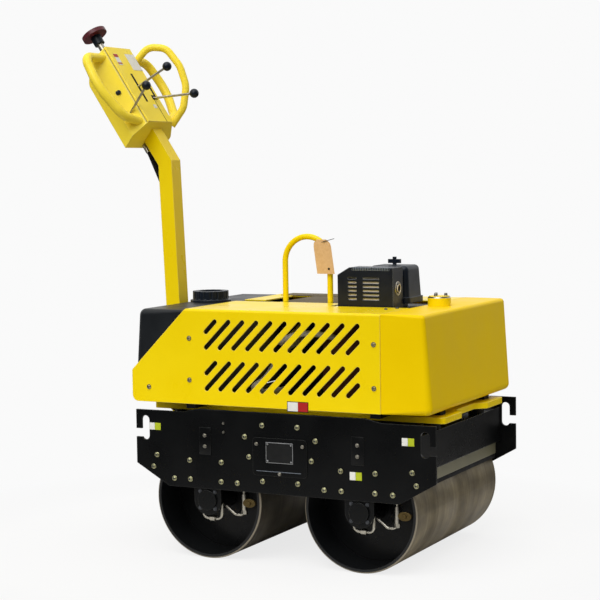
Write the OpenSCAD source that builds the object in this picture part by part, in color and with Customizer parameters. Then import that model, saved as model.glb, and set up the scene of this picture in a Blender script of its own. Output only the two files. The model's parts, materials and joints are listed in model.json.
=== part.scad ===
// Walk-behind double-drum road roller, standing upright with its drawbar raised.
// X points forward, Y to the machine's left, Z up, in millimetres.

/* [Drums] */
// Outside diameter of a drum
drum_d = 360; // [340:1:380]
// Width of a drum
drum_w = 650; // [600:1:700]
// Thickness of the drum shell
drum_wall = 12; // [8:0.5:16]
// Distance between the drum axles
wheelbase = 506; // [480:1:540]
// Chamfer at the rim of a drum
drum_chamfer = 4; // [2:0.5:6]
// Distance of an end disc's middle from the drum's end
drum_disc_in = 125; // [114:1:140]
// Thickness of an end disc
drum_disc_t = 12; // [8:1:16]
// Diameter of the hub flange
hub_d = 140; // [110:1:160]
// Thickness of the hub flange
hub_t = 15; // [10:1:20]
// Diameter of the stub shaft
stub_d = 50; // [40:1:56]
// Length of the stub shaft beyond its flange
stub_l = 68; // [50:1:75]
// Radial clearance of a shaft in its bearing
run_gap = 0.05; // [0.02:0.01:0.1]
// Free space kept between moving and fixed pieces
free_gap = 5; // [5:0.5:8]
// Gap between round faces that are pressed or welded together
seat_gap = 0.3; // [0.2:0.05:0.4]

/* [Side plates] */
// Thickness of a side plate
plate_t = 8; // [6:0.5:10]
// Length of a side plate
plate_l = 994; // [960:1:1060]
// Height of the plates' bottom edge above ground
plate_z0 = 216; // [205:1:225]
// Height of the plates' top edge in the middle
plate_z1 = 458; // [450:1:462]
// Drop of the top edge towards the ends
plate_drop = 11; // [5:1:20]
// Half length of the raised stretch of the top edge
plate_raise_x = 277; // [240:1:300]
// Length of the slope beside the raised stretch
plate_slope = 53; // [30:1:70]
// Height of the lower corner at the plate ends
plate_end_z = 281; // [265:1:295]
// Half length of the straight bottom edge
plate_low_x = 383; // [360:1:400]
// Width of a tie-down slot
hook_w = 28; // [20:1:32]
// Height of a tie-down slot
hook_h = 75; // [60:1:90]
// Height of the bottom of a tie-down slot
hook_z = 354; // [330:1:360]
// Distance of a tie-down slot from the plate's end
hook_in = 19; // [14:1:24]
// Height of the mouth of a tie-down slot
hook_mouth = 26; // [20:1:34]
// Height of the mouth above the slot's bottom
hook_lip = 8; // [5:1:14]

/* [Inspection cover] */
// Half length of the cover
cover_half = 90; // [75:1:100]
// Height of the cover's lower edge
cover_z0 = 270; // [262:1:276]
// Height of the cover's upper edge
cover_z1 = 384; // [378:1:392]
// Thickness of the cover
cover_t = 3; // [2:0.5:4]
// Corner radius of the cover
cover_r = 12; // [6:1:20]

/* [Frame] */
// Distance of a crossmember's outer face from the middle
cross_x = 446; // [440:1:448]
// Thickness of the crossmember plate
cross_t = 10; // [6:1:14]
// Height of the crossmember's lower edge
cross_z0 = 305; // [300:1:320]
// Width of the crossmember's top and bottom flanges
cross_flange = 50; // [40:1:70]
// Height of a scraper strip
scraper_h = 36; // [30:1:45]
// Thickness of a scraper strip
scraper_t = 6; // [4:1:10]
// Height of the scraper strip's lower edge
scraper_z = 264; // [258:1:270]
// Distance of the scraper strip's outer face from the middle
scraper_x = 430; // [425:1:436]
// Width of the deck
deck_w = 494; // [480:1:520]
// Length of the deck over its lugs
deck_l = 974; // [960:1:990]
// Thickness of the deck's folded edge
deck_t = 18; // [14:1:22]
// Distance between the front lugs
lug_gap = 150; // [120:1:180]
// Depth of the notch between the lugs
lug_depth = 32; // [24:1:40]
// Radius of the lugs' corners
deck_r = 14; // [8:1:20]
// Diameter of a rubber mount
mount_d = 50; // [40:1:60]
// Height of a rubber mount
mount_h = 26; // [20:1:30]
// Sideways distance of the rubber mounts from the middle
mount_y = 180; // [150:1:200]
// Width of a rubber strip under the tanks
pad_w = 40; // [30:1:50]
// Length of a rubber strip under the tanks
pad_l = 120; // [90:1:130]
// Distance of the rubber strips from the hood's seams
pad_in = 10; // [5:1:15]

/* [Drum carriers] */
// Radius of a carrier plate round the axle
carrier_r = 46; // [44:1:54]
// Thickness of a carrier plate
carrier_t = 8; // [6:1:10]
// Height of the carrier's top above the axle
carrier_up = 140; // [125:1:145]
// Diameter of a drive motor's body
motor_d = 84; // [76:1:88]
// Diameter of the motor's end cover
motor_cap_d = 62; // [50:1:68]
// Length of the motor's end cover
motor_cap_l = 15; // [10:1:18]
// Diameter of the hydraulic pipes
pipe_d = 10; // [8:1:14]
// Bend radius of the hydraulic pipes
pipe_bend = 16; // [14:1:22]
// Depth of the return pipe's lowest run below the axle
pipe_low = 60; // [56:1:66]
// Places of the motor's two ports behind and in front of the axle
port_rear = -27; // [-30:1:-20]
port_front = 36; // [30:1:38]
// Size across the corners of a pipe nut
nut_d = 20; // [16:1:24]
// Length of a pipe nut
nut_l = 17; // [12:1:20]
// Place of the feed line in front of the axle
feed_x = 96; // [88:1:105]
// Height of the feed line's bulkhead end above the axle
feed_top = 62; // [55:1:75]
// Depth of the feed line's foot below the axle
feed_low = 50; // [46:1:56]
// Diameter of the crimped sleeve on the feed line
sleeve_d = 16; // [14:1:20]
// Length of the sleeve
sleeve_l = 50; // [40:1:56]
// Distance of the return pipe from the middle
pipe_y = 306; // [300:1:310]
// Distance of the feed line from the middle
feed_y = 274; // [268:1:280]

/* [Hood] */
// Width of the hood
hood_w = 670; // [640:1:676]
// Height of the hood's lower edge above ground
hood_z0 = 472; // [468:1:480]
// Height of the hood's top above ground
hood_z1 = 761; // [740:1:790]
// Sheet thickness of the hood panels
hood_t = 4; // [3:0.5:5]
// Outside radius of the fold along the hood's top edges
fold_r = 8; // [5:0.5:10]
// Place of the seam between hood and front tank
seam_x = 326; // [315:1:335]
// Place of the front tank's face at its bottom
nose_x = 480; // [470:1:490]
// How far the tank faces lean back at the top
nose_rake = 18; // [10:1:24]
// Place of the hood panel's rear edge
tail_x = 510; // [500:1:520]
// Height of the panel's rear edge where its slope begins
tail_z = 577; // [560:1:600]
// Place where the slope meets the top
tail_top_x = 319; // [300:1:330]
// Cut at the corner where the slope begins
tail_cut = 8; // [4:1:12]
// Radius of the panel's rear corners
tail_r = 20; // [10:1:28]
// Radius of the tanks' outer edges
tank_r = 20; // [10:1:28]
// Radius of the front tank's top edges
tank_top_r = 12; // [6:1:16]
// Radius of the tanks' edges at the seams
seam_r = 3; // [2:0.5:5]
// Width of the channel for the column in the rear tank
channel_w = 90; // [80:1:100]
// Depth of the channel past the tank's top edge
channel_in = 4; // [3:1:6]
// Distance of the right top strip's inner edge from the middle
strip_y = 12; // [11:1:20]
// Distance of the left top flange's inner edge from the middle
flange_y = 247; // [230:1:270]
// Distance of the left strip's inner edge from the middle at the rear
rear_strip_y = 50; // [40:1:80]
// Front end of the left strip's rear stretch
rear_strip_x = -244; // [-255:1:-230]
// Rear end of the cover between the strips
cover_x0 = -165; // [-175:1:-160]
// Front end of the cover, where the engine bay begins
cover_x1 = 60; // [50:1:64]
// Distance of the engine bay's right edge from the middle
bay_right = 115; // [110:1:125]
// Distance of the engine bay's left edge from the middle
bay_left = 175; // [168:1:190]
// Width of the bars of the inner hood frame
rib_w = 30; // [24:1:36]
// Distance of the inner hood frames from the middle
rib_x = 306; // [295:1:310]
// Number of full louvres in a row
louvre_n = 10; // [6:1:11]
// Spacing of the louvres
louvre_pitch = 47.1; // [42:0.1:50]
// Width of a louvre slot
louvre_w = 15; // [10:0.5:18]
// Height of a row of louvres
louvre_h = 78; // [60:1:84]
// Rear end of the louvre rows
louvre_x = -247; // [-255:1:-235]
// Height of the lower row above the hood's lower edge
louvre_z = 49; // [40:1:60]
// Height of the upper row above the lower one
louvre_step = 125; // [110:1:135]

/* [Engine] */
// Rear face of the engine block
engine_x = 75; // [70:1:85]
// Length of the engine block
engine_l = 205; // [190:1:212]
// Width of the engine block
engine_w = 330; // [280:1:380]
// Gap between the engine's top and the hood sheet
engine_drop = 6; // [4:1:10]
// Rear end of the muffler guard
guard_x = 85; // [80:1:92]
// Length of the muffler guard
guard_l = 183; // [170:1:190]
// Depth of the muffler guard
guard_w = 75; // [68:1:78]
// Height of the muffler guard
guard_h = 128; // [115:1:135]
// Near face of the muffler guard, right of the middle
guard_y = 105; // [102:1:108]
// Sheet thickness of the muffler guard
guard_t = 2; // [1.5:0.5:3]
// Length and height of the sloped corner of the guard
guard_slope = 39; // [30:1:45]
guard_slope_h = 23; // [16:1:30]
// Spacing of the guard's slots
guard_pitch = 12.5; // [11:0.5:14]
// Height of a slot in the guard
guard_slot = 5; // [3:0.5:6]
// Number of slots in a column
guard_rows = 6; // [4:1:6]
// Spacing of the ribs along the guard's top edge
rib_pitch = 8; // [6:1:10]
// Diameter of the muffler
muffler_d = 60; // [50:1:64]
// Length of the muffler
muffler_l = 155; // [140:1:160]
// Diameter of the tailpipe
tailpipe_d = 26; // [20:1:30]
// Rear end of the air cleaner
cleaner_x = 140; // [132:1:150]
// Right side of the air cleaner, from the middle
cleaner_y = -24; // [-25:1:-10]
// Length of the air cleaner
cleaner_l = 144; // [130:1:160]
// Width of the air cleaner
cleaner_w = 124; // [110:1:140]
// Height of the air cleaner
cleaner_h = 129; // [115:1:140]
// Height of the air cleaner's base flange
cleaner_flange = 18; // [12:1:22]
// Radius of the air cleaner's edges
cleaner_r = 14; // [10:1:20]
// How far the air cleaner's body narrows to its top
cleaner_taper = 9; // [5:1:14]
// Width of the air cleaner's intake neck
intake_w = 60; // [50:1:80]
// Height of the wing knob on the air cleaner
wing_h = 25; // [18:1:28]
// Length of the hydraulic tank
oil_l = 120; // [100:1:126]
// Width of the hydraulic tank
oil_w = 200; // [160:1:240]
// Height of the hydraulic tank
oil_h = 265; // [200:1:280]
// Corner radius of the hydraulic tank
oil_r = 15; // [8:1:25]
// Diameter of the lifting eye's bar
eye_d = 18; // [14:1:22]
// Gap round a leg of the eye in the cover
eye_gap = 2; // [1:0.5:2.5]
// Span of the lifting eye
eye_span = 156; // [140:1:180]
// Place of the lifting eye's middle
eye_x = -68; // [-80:1:-60]
// Height of the lifting eye's top
eye_z = 976; // [940:1:1000]
// Diameter of the filler neck
neck_d = 70; // [60:1:80]
// Height of the filler neck
neck_h = 30; // [24:1:36]
// Height and inset of the lid on the filler neck
lid_h = 6; // [4:1:8]
lid_in = 4; // [2:0.5:6]
// Place of the filler neck
neck_x = 374; // [368:1:380]
// Diameter of the rear tank's screw cap
cap_d = 115; // [100:1:125]
// Height of the rear tank's screw cap
cap_h = 34; // [28:1:38]
// Place of the screw cap
cap_x = -418; // [-424:1:-410]
// Width and height of the screw cap's flange
cap_rim = 8; // [5:1:10]
cap_rim_h = 6; // [4:1:8]
// Number of grip notches round the screw cap
cap_grips = 18; // [10:1:24]
// Diameter and depth of the screw cap's hollow top
cap_bowl = 78; // [60:1:84]
cap_bowl_h = 12; // [6:1:16]

/* [Drawbar] */
// Place of the drawbar's pivot behind the middle
pivot_x = -530; // [-540:1:-525]
// Height of the drawbar's pivot
pivot_z = 430; // [420:1:436]
// Diameter of the pivot pin
pin_d = 30; // [24:1:32]
// Length of the column below the pivot
column_tail = 36; // [30:1:42]
// Wall of the bushing in the column
bush_wall = 6; // [4:1:8]
// Thickness of a bracket ear
ear_t = 12; // [10:1:14]
// Width of the bracket's rim round the pin
ear_rim = 15; // [12:1:18]
// Free space between the column and an ear
ear_gap = 5; // [5:0.5:7]
// Length of pin that stands out of each ear
pin_end = 6; // [4:1:10]
// Depth of the column, front to back
column_d = 50; // [45:1:55]
// Width of the column
column_w = 56; // [50:1:60]
// Wall of the column
column_wall = 4; // [3:0.5:6]
// Lean of the column, in degrees
column_lean = 2.5; // [1:0.1:4]
// Lean of the console, in degrees
console_lean = 33.25; // [30:0.05:36]
// Place of the panel's lower end
console_x = -592; // [-600:1:-585]
// Height of the panel's lower end
console_z = 1338; // [1320:1:1360]
// Length of the control panel
panel_l = 292; // [270:1:310]
// Width of the control panel
panel_w = 148; // [140:1:160]
// Thickness of the control panel
panel_t = 3; // [2:0.5:4]
// Width of the console
console_w = 236; // [220:1:250]
// Thickness of the console
console_t = 100; // [90:1:110]
// Height of the console's side walls
console_wall_h = 44; // [36:1:50]
// Slant of the console's lower end
console_slant = 36; // [25:1:45]
// Sheet thickness of the console
sheet_t = 3; // [2:0.5:4]
// Height of the small facet at the console's back
back_drop = 10; // [6:1:14]
// Width of the slots in the panel
slot_w = 9; // [8.8:0.1:10]
// Place of the hooked slot's lower edge along the panel
gate_a = 89; // [84:1:90]
// Sideways place of the small lid's seam
seam_y = 38; // [34:1:42]
// Width of the small lid's seam
seam_w = 1.2; // [1:0.1:2]
// Diameter of the handlebar tube
bar_d = 30; // [25:1:32]
// Depth of the handlebar below the panel
bar_h = 27; // [22:1:32]
// Place of the handlebar's upper run along the panel
bar_top = 264; // [255:1:272]
// Place of the handlebar's lower run along the panel
bar_low = 14; // [8:1:20]
// How far the handlebar's corners lie inside its widest point
bar_in = 24; // [18:1:28]
// Half width of the handlebar at its widest
bar_y = 208; // [190:1:225]
// Diameter of the lever guard tube
hoop_d = 24; // [18:1:26]
// Diameter of a lever rod
rod_d = 8; // [6:1:10]
// Depth of a lever rod's end below the panel
lever_root = 12; // [8:1:16]
// Diameter of a lever knob
knob_d = 30; // [24:1:34]
// Diameter of the reverse stop disc
stop_d = 84; // [76:1:92]
// Thickness of the reverse stop disc
stop_t = 14; // [10:1:18]
// Length of the stop's stem
stop_l = 94; // [86:1:100]
// Diameter of the stop's boss
boss_d = 34; // [28:1:38]
// Length of the stop's boss
boss_l = 30; // [22:1:34]
// Diameter of the stop's stem
stem_d = 16; // [12:1:18]
// Diameter of a control cable
cable_d = 9; // [7:1:11]
// Spacing of the control cables
cable_pitch = 13; // [12:1:14]
// Depth of the cables' start below the panel
cable_h = 88; // [80:1:92]
// Length of the cables' straight run below the console
cable_drop = 70; // [60:1:80]
// Distance of the cables' end below the column's bend
cable_run = 120; // [100:1:140]
// Bend radius of the cables
cable_bend = 90; // [70:1:100]

/* [Hidden] */
$fn = 96;
axle_x = wheelbase / 2;
axle_z = drum_d / 2;
plate_in = drum_w / 2 + free_gap;
plate_x = plate_l / 2;
plate_end_top = plate_z1 - plate_drop;
deck_z1 = plate_z1;
deck_z0 = deck_z1 - deck_t;
cross_z1 = deck_z0 - mount_h;
drum_disc_y = drum_w / 2 - drum_disc_in;
hub_y = drum_disc_y + drum_disc_t / 2 + hub_t;
carrier_y = plate_in - carrier_t;
hood_y = hood_w / 2;
hood_in = hood_y - hood_t;
top_z = hood_z1 - hood_t;
engine_top = top_z - engine_drop;
tail_rear = tail_x - seam_r;
pad_h = hood_z0 - deck_z1;
console_h = -console_t / 2;
stop_rim = panel_l + stop_l;
// Cuts at the console's upper front and upper back edges, along the panel and into the console
top_chamfer = [33, 63];
back_chamfer = [80, 96];
// Starts and lengths of the guard's two columns of slots
guard_columns = [[35, 28], [84, 53]];
// Slots of the panel: sideways place, place along it, width and length
SLOTS = [[-12 - slot_w / 2, 79, slot_w, 108], [52, gate_a, slot_w, 49], [34, gate_a, 27, 15]];
// Foot and knob centre of each lever, in the console's frame
LEVERS = [[[0, -12, 138], [119, 0, 133]], [[0, 44, gate_a + 5], [132, 46, 20]], [[-34, -95, 52], [66, -95, 91]]];
// Bend radii of the handlebar; corners of the lever guard in the console's frame and its bend radii
BAR_BENDS = [0, 40, 160, 60, 30, 0];
HOOP = [[-bar_h, 100, 252], [38, 122, 276], [86, 138, 238], [94, 142, 160], [78, 140, 92], [34, 128, 34],
    [-bar_h, 108, 4]];
HOOP_BENDS = [0, 45, 50, 90, 90, 60, 0];
// Front and rear ends of the machine, which set the origin midway between them
end_front = plate_x;
end_rear = console_x - stop_rim * sin(console_lean)
    + (console_h - stop_d / 2) * cos(console_lean);
origin_x = -(end_front + end_rear) / 2;

yellow = "gold";
black = "#1a1a1c";
steel = "#8a8578";
zinc = "silver";

function unit(v) = v / norm(v);

// Places children in a frame given by its origin and its x and z directions.
module in_frame(o, x, z) {
    y = cross(z, x);
    rows = [for (i = [0 : 2]) [x[i], y[i], z[i], o[i]]];
    multmatrix(concat(rows, [[0, 0, 0, 1]])) children();
}

// A straight round bar from p to q.
module bar(p, q, r) {
    d = unit(q - p);
    side = abs(d[1]) < 0.9 ? [0, 1, 0] : [1, 0, 0];
    in_frame(p, unit(cross(d, side)), d) cylinder(r = r, h = norm(q - p));
}

// Length that a bend takes from the straight runs beside corner i of a path.
function bend_cut(path, i, bend) =
    i <= 0 || i >= len(path) - 1 ? 0
    : bend[i] * tan(acos(unit(path[i] - path[i - 1]) * unit(path[i + 1] - path[i])) / 2);

// A round tube along a path of corners, with its own bend radius at each corner.
// A weld bead at both ends of each bend closes the joint where the runs aren't square to each other.
module bent_tube(path, bend, r, bead = 0.2) {
    for (i = [0 : len(path) - 2]) {
        d = unit(path[i + 1] - path[i]);
        p = path[i] + d * bend_cut(path, i, bend);
        q = path[i + 1] - d * bend_cut(path, i + 1, bend);
        if ((q - p) * d > 0.01) bar(p, q, r);
    }
    for (i = [1 : len(path) - 2]) {
        d1 = unit(path[i] - path[i - 1]);
        d2 = unit(path[i + 1] - path[i]);
        m = unit(d2 - d1 * (d1 * d2));
        cut = bend_cut(path, i, bend);
        in_frame(path[i] - d1 * cut + m * bend[i], -m, unit(cross(d1, d2)))
            rotate_extrude(angle = acos(d1 * d2)) translate([bend[i], 0]) circle(r = r);
        if (bead > 0)
            for (p = [path[i] - d1 * cut, path[i] + d2 * cut]) translate(p) sphere(r = r + bead);
    }
}

// Points of the arc that rounds corner b between a and c.
function corner_arc(a, b, c, r, steps) =
    let (u = unit(a - b), v = unit(c - b), half = acos(u * v) / 2,
        p = b + u * r / tan(half), mid = b + unit(u + v) * r / sin(half),
        start = atan2(p[1] - mid[1], p[0] - mid[0]),
        turn = (cross(b - a, c - b) > 0 ? 1 : -1) * (180 - 2 * half) / steps)
    r <= 0 ? [b] : [for (i = [0 : steps]) mid + r * [cos(start + i * turn), sin(start + i * turn)]];

// An outline with each corner rounded to its own radius, or left sharp at 0.
function rounded(points, radii, steps = 6) =
    let (n = len(points))
    [for (i = [0 : n - 1])
        each corner_arc(points[(i + n - 1) % n], points[i], points[(i + 1) % n], radii[i], steps)];

// A rectangle's corners, from the origin.
function rectangle(l, w) = [[0, 0], [l, 0], [l, w], [0, w]];
function all_corners(r) = [r, r, r, r];

// Stands an outline drawn in the X-Z plane up, with its thickness from y0 to y1.
module upright(y0, y1) {
    translate([0, y1, 0]) rotate([90, 0, 0]) linear_extrude(y1 - y0) children();
}

// Lays an outline drawn in the Y-Z plane along X, from x0 to x1.
module along_x(x0, x1) {
    translate([x0, 0, 0]) rotate([90, 0, 90]) linear_extrude(x1 - x0) children();
}

// Everything is drawn about the point on the ground midway between the drums, then moved to the origin.
module machine() {
    translate([origin_x, 0, 0]) children();
}

// Places children in the console's own frame: X out of the panel, Y sideways, Z up along it.
module at_console() {
    translate([console_x, 0, console_z]) rotate([0, -console_lean, 0]) children();
}

module mirror_x(flip) {
    mirror([flip ? 1 : 0, 0, 0]) children();
}

module mirror_y(flip) {
    mirror([0, flip ? 1 : 0, 0]) children();
}

module hook_slot_2d() {
    x = plate_x - hook_in - hook_w / 2;
    r = hook_w / 2;
    translate([x - r, hook_z + r]) square([hook_w, hook_h - hook_w]);
    translate([x, hook_z + r]) circle(r);
    translate([x, hook_z + hook_h - r]) circle(r);
    translate([x, hook_z + hook_lip]) square([plate_x, hook_mouth]);
}

module side_plate_2d() {
    half = [[plate_raise_x, plate_z1], [plate_raise_x + plate_slope, plate_end_top], [plate_x, plate_end_top],
        [plate_x, plate_end_z], [plate_low_x, plate_z0]];
    other = [for (i = [len(half) - 1 : -1 : 0]) [-half[i][0], half[i][1]]];
    difference() {
        polygon(concat(half, other));
        for (flip = [false, true]) mirror_x(flip) hook_slot_2d();
    }
}

module side_plate(left) {
    color(black) machine() mirror_y(left)
        upright(-plate_in - plate_t, -plate_in) side_plate_2d();
}

module side_plate_right() { side_plate(false); }
module side_plate_left() { side_plate(true); }

// A channel that ties the side plates together at one end of the machine.
module crossmember(rear) {
    color(black) machine() mirror_x(rear) upright(-plate_in, plate_in)
        difference() {
            translate([cross_x - cross_flange, cross_z0]) square([cross_flange, cross_z1 - cross_z0]);
            translate([cross_x - cross_flange - 1, cross_z0 + cross_t])
                square([cross_flange + 1 - cross_t, cross_z1 - cross_z0 - 2 * cross_t]);
        }
}

module front_crossmember() { crossmember(false); }
module rear_crossmember() { crossmember(true); }

module scraper(rear) {
    color(steel) machine() mirror_x(rear)
        translate([scraper_x - scraper_t, -plate_in, scraper_z]) cube([scraper_t, 2 * plate_in, scraper_h]);
}

module front_scraper() { scraper(false); }
module rear_scraper() { scraper(true); }

// The cover over the opening in the middle of the right side plate.
module inspection_cover() {
    color(black) machine() upright(-plate_in - plate_t - cover_t, -plate_in - plate_t)
        translate([-cover_half, cover_z0])
            polygon(rounded(rectangle(2 * cover_half, cover_z1 - cover_z0), all_corners(cover_r)));
}

module deck_plate() {
    x = deck_l / 2;
    y = deck_w / 2;
    g = lug_gap / 2;
    quarter = [[x, y], [x, g + lug_depth], [x - lug_depth, g]];
    right = [for (i = [2 : -1 : 0]) [quarter[i][0], -quarter[i][1]]];
    front = concat(quarter, right);
    rear = [for (p = front) -p];
    radii = [for (end = [0, 1]) each [deck_r, deck_r, 0, 0, deck_r, deck_r]];
    color(yellow) machine() translate([0, 0, deck_z0]) linear_extrude(deck_t)
        polygon(rounded(concat(front, rear), radii));
}

module deck_mounts() {
    color(black) machine()
        for (sx = [-1, 1], sy = [-1, 1])
            translate([sx * (cross_x - cross_flange / 2), sy * mount_y, cross_z1])
                cylinder(d = mount_d, h = mount_h);
}

// Rubber strips between the deck and the two tanks.
module tank_pads() {
    color(black) machine()
        for (sx = [-1, 1], sy = [-1, 1])
            translate([sx * (seam_x + pad_l / 2 + pad_in) - pad_l / 2, sy * mount_y - pad_w / 2, deck_z1])
                cube([pad_l, pad_w, pad_h]);
}

// Cross beams on the deck that carry the hood's posts.
module hood_beams() {
    color(black) machine()
        for (sx = [-1, 1]) translate([sx * rib_x - rib_w / 2, -hood_in, deck_z1])
            cube([rib_w, 2 * hood_in, pad_h]);
}

// Posts inside the hood's corners, which the side panels are screwed to.
module hood_posts() {
    color(black) machine()
        for (sx = [-1, 1], flip = [false, true]) mirror_y(flip)
            translate([sx * rib_x - rib_w / 2, -hood_in, hood_z0])
                cube([rib_w, rib_w, top_z - fold_r - hood_z0]);
}

// A slot with round ends, from p to q.
module slot_2d(p, q, w) {
    d = q - p;
    translate(p) rotate(atan2(d[1], d[0])) {
        translate([0, -w / 2]) square([norm(d), w]);
        circle(d = w);
        translate([norm(d), 0]) circle(d = w);
    }
}

// One row of slanted slots, with a short one at each end that squares the row off.
module louvre_row_2d() {
    h = louvre_h;
    end = (louvre_n - 1) * louvre_pitch;
    for (i = [0 : louvre_n - 1]) slot_2d([i * louvre_pitch, 0], [i * louvre_pitch + h, h], louvre_w);
    slot_2d([0, louvre_pitch], [h - louvre_pitch, h], louvre_w);
    slot_2d([end + louvre_pitch, 0], [end + h, h - louvre_pitch], louvre_w);
}

// Outline of a side panel. It runs past the fold and the seam, which the folded sheet ends itself.
module hood_side_2d() {
    slope = (tail_x - tail_cut - tail_top_x) / (hood_z1 - tail_z);
    past = 1;
    difference() {
        polygon(rounded([[seam_x + past, hood_z0], [seam_x + past, hood_z1 + past],
            [-tail_top_x + past * slope, hood_z1 + past], [-tail_x + tail_cut, tail_z],
            [-tail_x, tail_z - tail_cut], [-tail_x, hood_z0]], [0, 0, 0, tail_cut, tail_cut, tail_r]));
        for (row = [0, 1]) translate([louvre_x, hood_z0 + louvre_z + row * louvre_step]) louvre_row_2d();
    }
}

// Section of the right panel's sheet, folded over at the top as far as y from the middle.
module folded_sheet_2d(y) {
    low = hood_z0 - 1;
    polygon(rounded([[-hood_y, low], [-hood_in, low], [-hood_in, top_z], [-y, top_z], [-y, hood_z1],
        [-hood_y, hood_z1]], [0, 0, fold_r - hood_t, 0, 0, fold_r]));
}

// Cuts a stretch of the right panel's top back from y to the distance back.
module strip_cut(x0, x1, y, back) {
    translate([x0, -back, top_z - 1]) cube([x1 - x0, back - y + 1, hood_t + 2]);
}

// A side panel with the strip of the top that is folded from the same sheet.
module folded_panel(y) {
    intersection() {
        along_x(-tail_x - 1, seam_x) folded_sheet_2d(y);
        upright(-hood_y - 1, 0) hood_side_2d();
    }
}

module hood_side_right() {
    color(yellow) machine() difference() {
        folded_panel(strip_y);
        strip_cut(cover_x1, seam_x + 1, strip_y, bay_right);
    }
}

module hood_side_left() {
    color(yellow) machine() mirror_y(true) difference() {
        folded_panel(rear_strip_y);
        strip_cut(rear_strip_x, cover_x1, rear_strip_y, flange_y);
        strip_cut(cover_x1 - 1, seam_x + 1, rear_strip_y, bay_left);
    }
}

// The flat cover between the strips, with holes for the legs of the lifting eye.
module hood_cover() {
    hole = eye_d + 2 * eye_gap;
    color(black) machine() difference() {
        translate([cover_x0, -strip_y, top_z]) cube([cover_x1 - cover_x0, strip_y + flange_y, hood_t]);
        for (sx = [-1, 1]) translate([eye_x + sx * eye_span / 2, 0, top_z - 1])
            cylinder(d = hole, h = hood_t + 2);
    }
}

// The moulded front tank: full round edges at its face, tight ones at the seam with the hood.
module front_tank() {
    color(yellow) machine() hull()
        for (flip = [false, true]) mirror_y(flip) {
            translate([nose_x - tank_r, tank_r - hood_y, hood_z0 + tank_r]) sphere(r = tank_r, $fn = 32);
            translate([nose_x - nose_rake - tank_top_r, tank_top_r - hood_y, hood_z1 - tank_top_r])
                sphere(r = tank_top_r, $fn = 32);
            for (z = [hood_z0 + seam_r, hood_z1 - seam_r])
                translate([seam_x + seam_r, seam_r - hood_y, z]) sphere(r = seam_r, $fn = 16);
        }
}

module filler_neck() {
    color(yellow) machine() translate([neck_x, 0, hood_z1]) {
        cylinder(d = neck_d, h = neck_h - lid_h);
        translate([0, 0, neck_h - lid_h]) cylinder(d = neck_d - 2 * lid_in, h = lid_h);
    }
}

// The rear tank fills the hood's tail and leaves a channel for the drawbar column.
module rear_tank() {
    front = rib_x + rib_w / 2;
    color(black) machine() difference() {
        hull() for (flip = [false, true]) mirror_y(flip) {
            translate([tank_r - tail_rear, tank_r - hood_in, hood_z0 + tank_r]) sphere(r = tank_r, $fn = 32);
            translate([tank_r - tail_rear + nose_rake, tank_r - hood_in, top_z - tank_r])
                sphere(r = tank_r, $fn = 32);
            for (z = [hood_z0 + fold_r, top_z - fold_r])
                translate([-front - fold_r, fold_r - hood_in, z]) sphere(r = fold_r, $fn = 32);
        }
        translate([-tail_rear - 1, -channel_w / 2, hood_z0 - 1])
            cube([nose_rake + channel_in, channel_w, top_z - hood_z0 + 2]);
    }
}

// A moulded screw cap with a hollow top and grip notches.
module rear_tank_cap() {
    color(black) machine() translate([cap_x, 0, top_z]) difference() {
        union() {
            cylinder(d = cap_d + 2 * cap_rim, h = cap_rim_h);
            cylinder(d = cap_d, h = cap_h);
        }
        translate([0, 0, cap_h - cap_bowl_h]) cylinder(d = cap_bowl, h = cap_bowl_h + 1);
        for (i = [0 : cap_grips - 1]) rotate(i * 360 / cap_grips)
            translate([cap_d / 2 + 1, 0, 1.5 * cap_rim_h]) cylinder(r = cap_rim / 2, h = cap_h);
    }
}

module engine_block() {
    color(black) machine()
        translate([engine_x, -engine_w / 2, deck_z1]) cube([engine_l, engine_w, engine_top - deck_z1]);
}

// The muffler lies along the engine on its outlet flange, with its tailpipe through the guard's front end.
module muffler() {
    y = guard_w / 2 - guard_y;
    z = engine_top + guard_h / 2;
    x = guard_x + (guard_l - muffler_l) / 2;
    flange_l = muffler_l / 3;
    color(zinc) machine() {
        translate([x, y, z]) rotate([0, 90, 0]) cylinder(d = muffler_d, h = muffler_l);
        translate([x + flange_l, y - tailpipe_d / 2, engine_top])
            cube([flange_l, tailpipe_d, z - engine_top]);
        translate([x + muffler_l, y, z]) rotate([0, 90, 0]) difference() {
            cylinder(d = tailpipe_d, h = guard_l + guard_x - x - muffler_l + free_gap);
            cylinder(d = tailpipe_d - 2 * guard_t, h = guard_l);
        }
    }
}

// Outline of the muffler guard, inset by w from its sides and top.
module guard_2d(w) {
    run = guard_slope * w / (guard_slope + guard_slope_h);
    polygon([[w, w > 0 ? -1 : 0], [w, guard_h - guard_slope_h - run], [guard_slope + run, guard_h - w],
        [guard_l - w, guard_h - w], [guard_l - w, w > 0 ? -1 : 0]]);
}

// A pressed sheet guard with two columns of slots, a row of ribs along its top edge
// and a round opening for the tailpipe.
module muffler_guard() {
    color(black) machine() translate([guard_x, -guard_y, engine_top]) difference() {
        upright(0, guard_w) guard_2d(0);
        upright(guard_t, guard_w - guard_t) guard_2d(guard_t);
        for (c = guard_columns, i = [1 : guard_rows])
            translate([c[0], -1, guard_h - guard_slope_h - i * guard_pitch])
                cube([c[1], guard_t + 2, guard_slot]);
        for (x = [guard_slope + rib_pitch : rib_pitch : guard_l - 2 * rib_pitch])
            translate([x, -1, guard_h - rib_pitch]) cube([rib_pitch / 2, guard_w / 4, rib_pitch + 1]);
        translate([guard_l - guard_t - 1, guard_w / 2, guard_h / 2]) rotate([0, 90, 0])
            cylinder(d = tailpipe_d + 2 * free_gap, h = guard_t + 2);
    }
}

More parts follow.
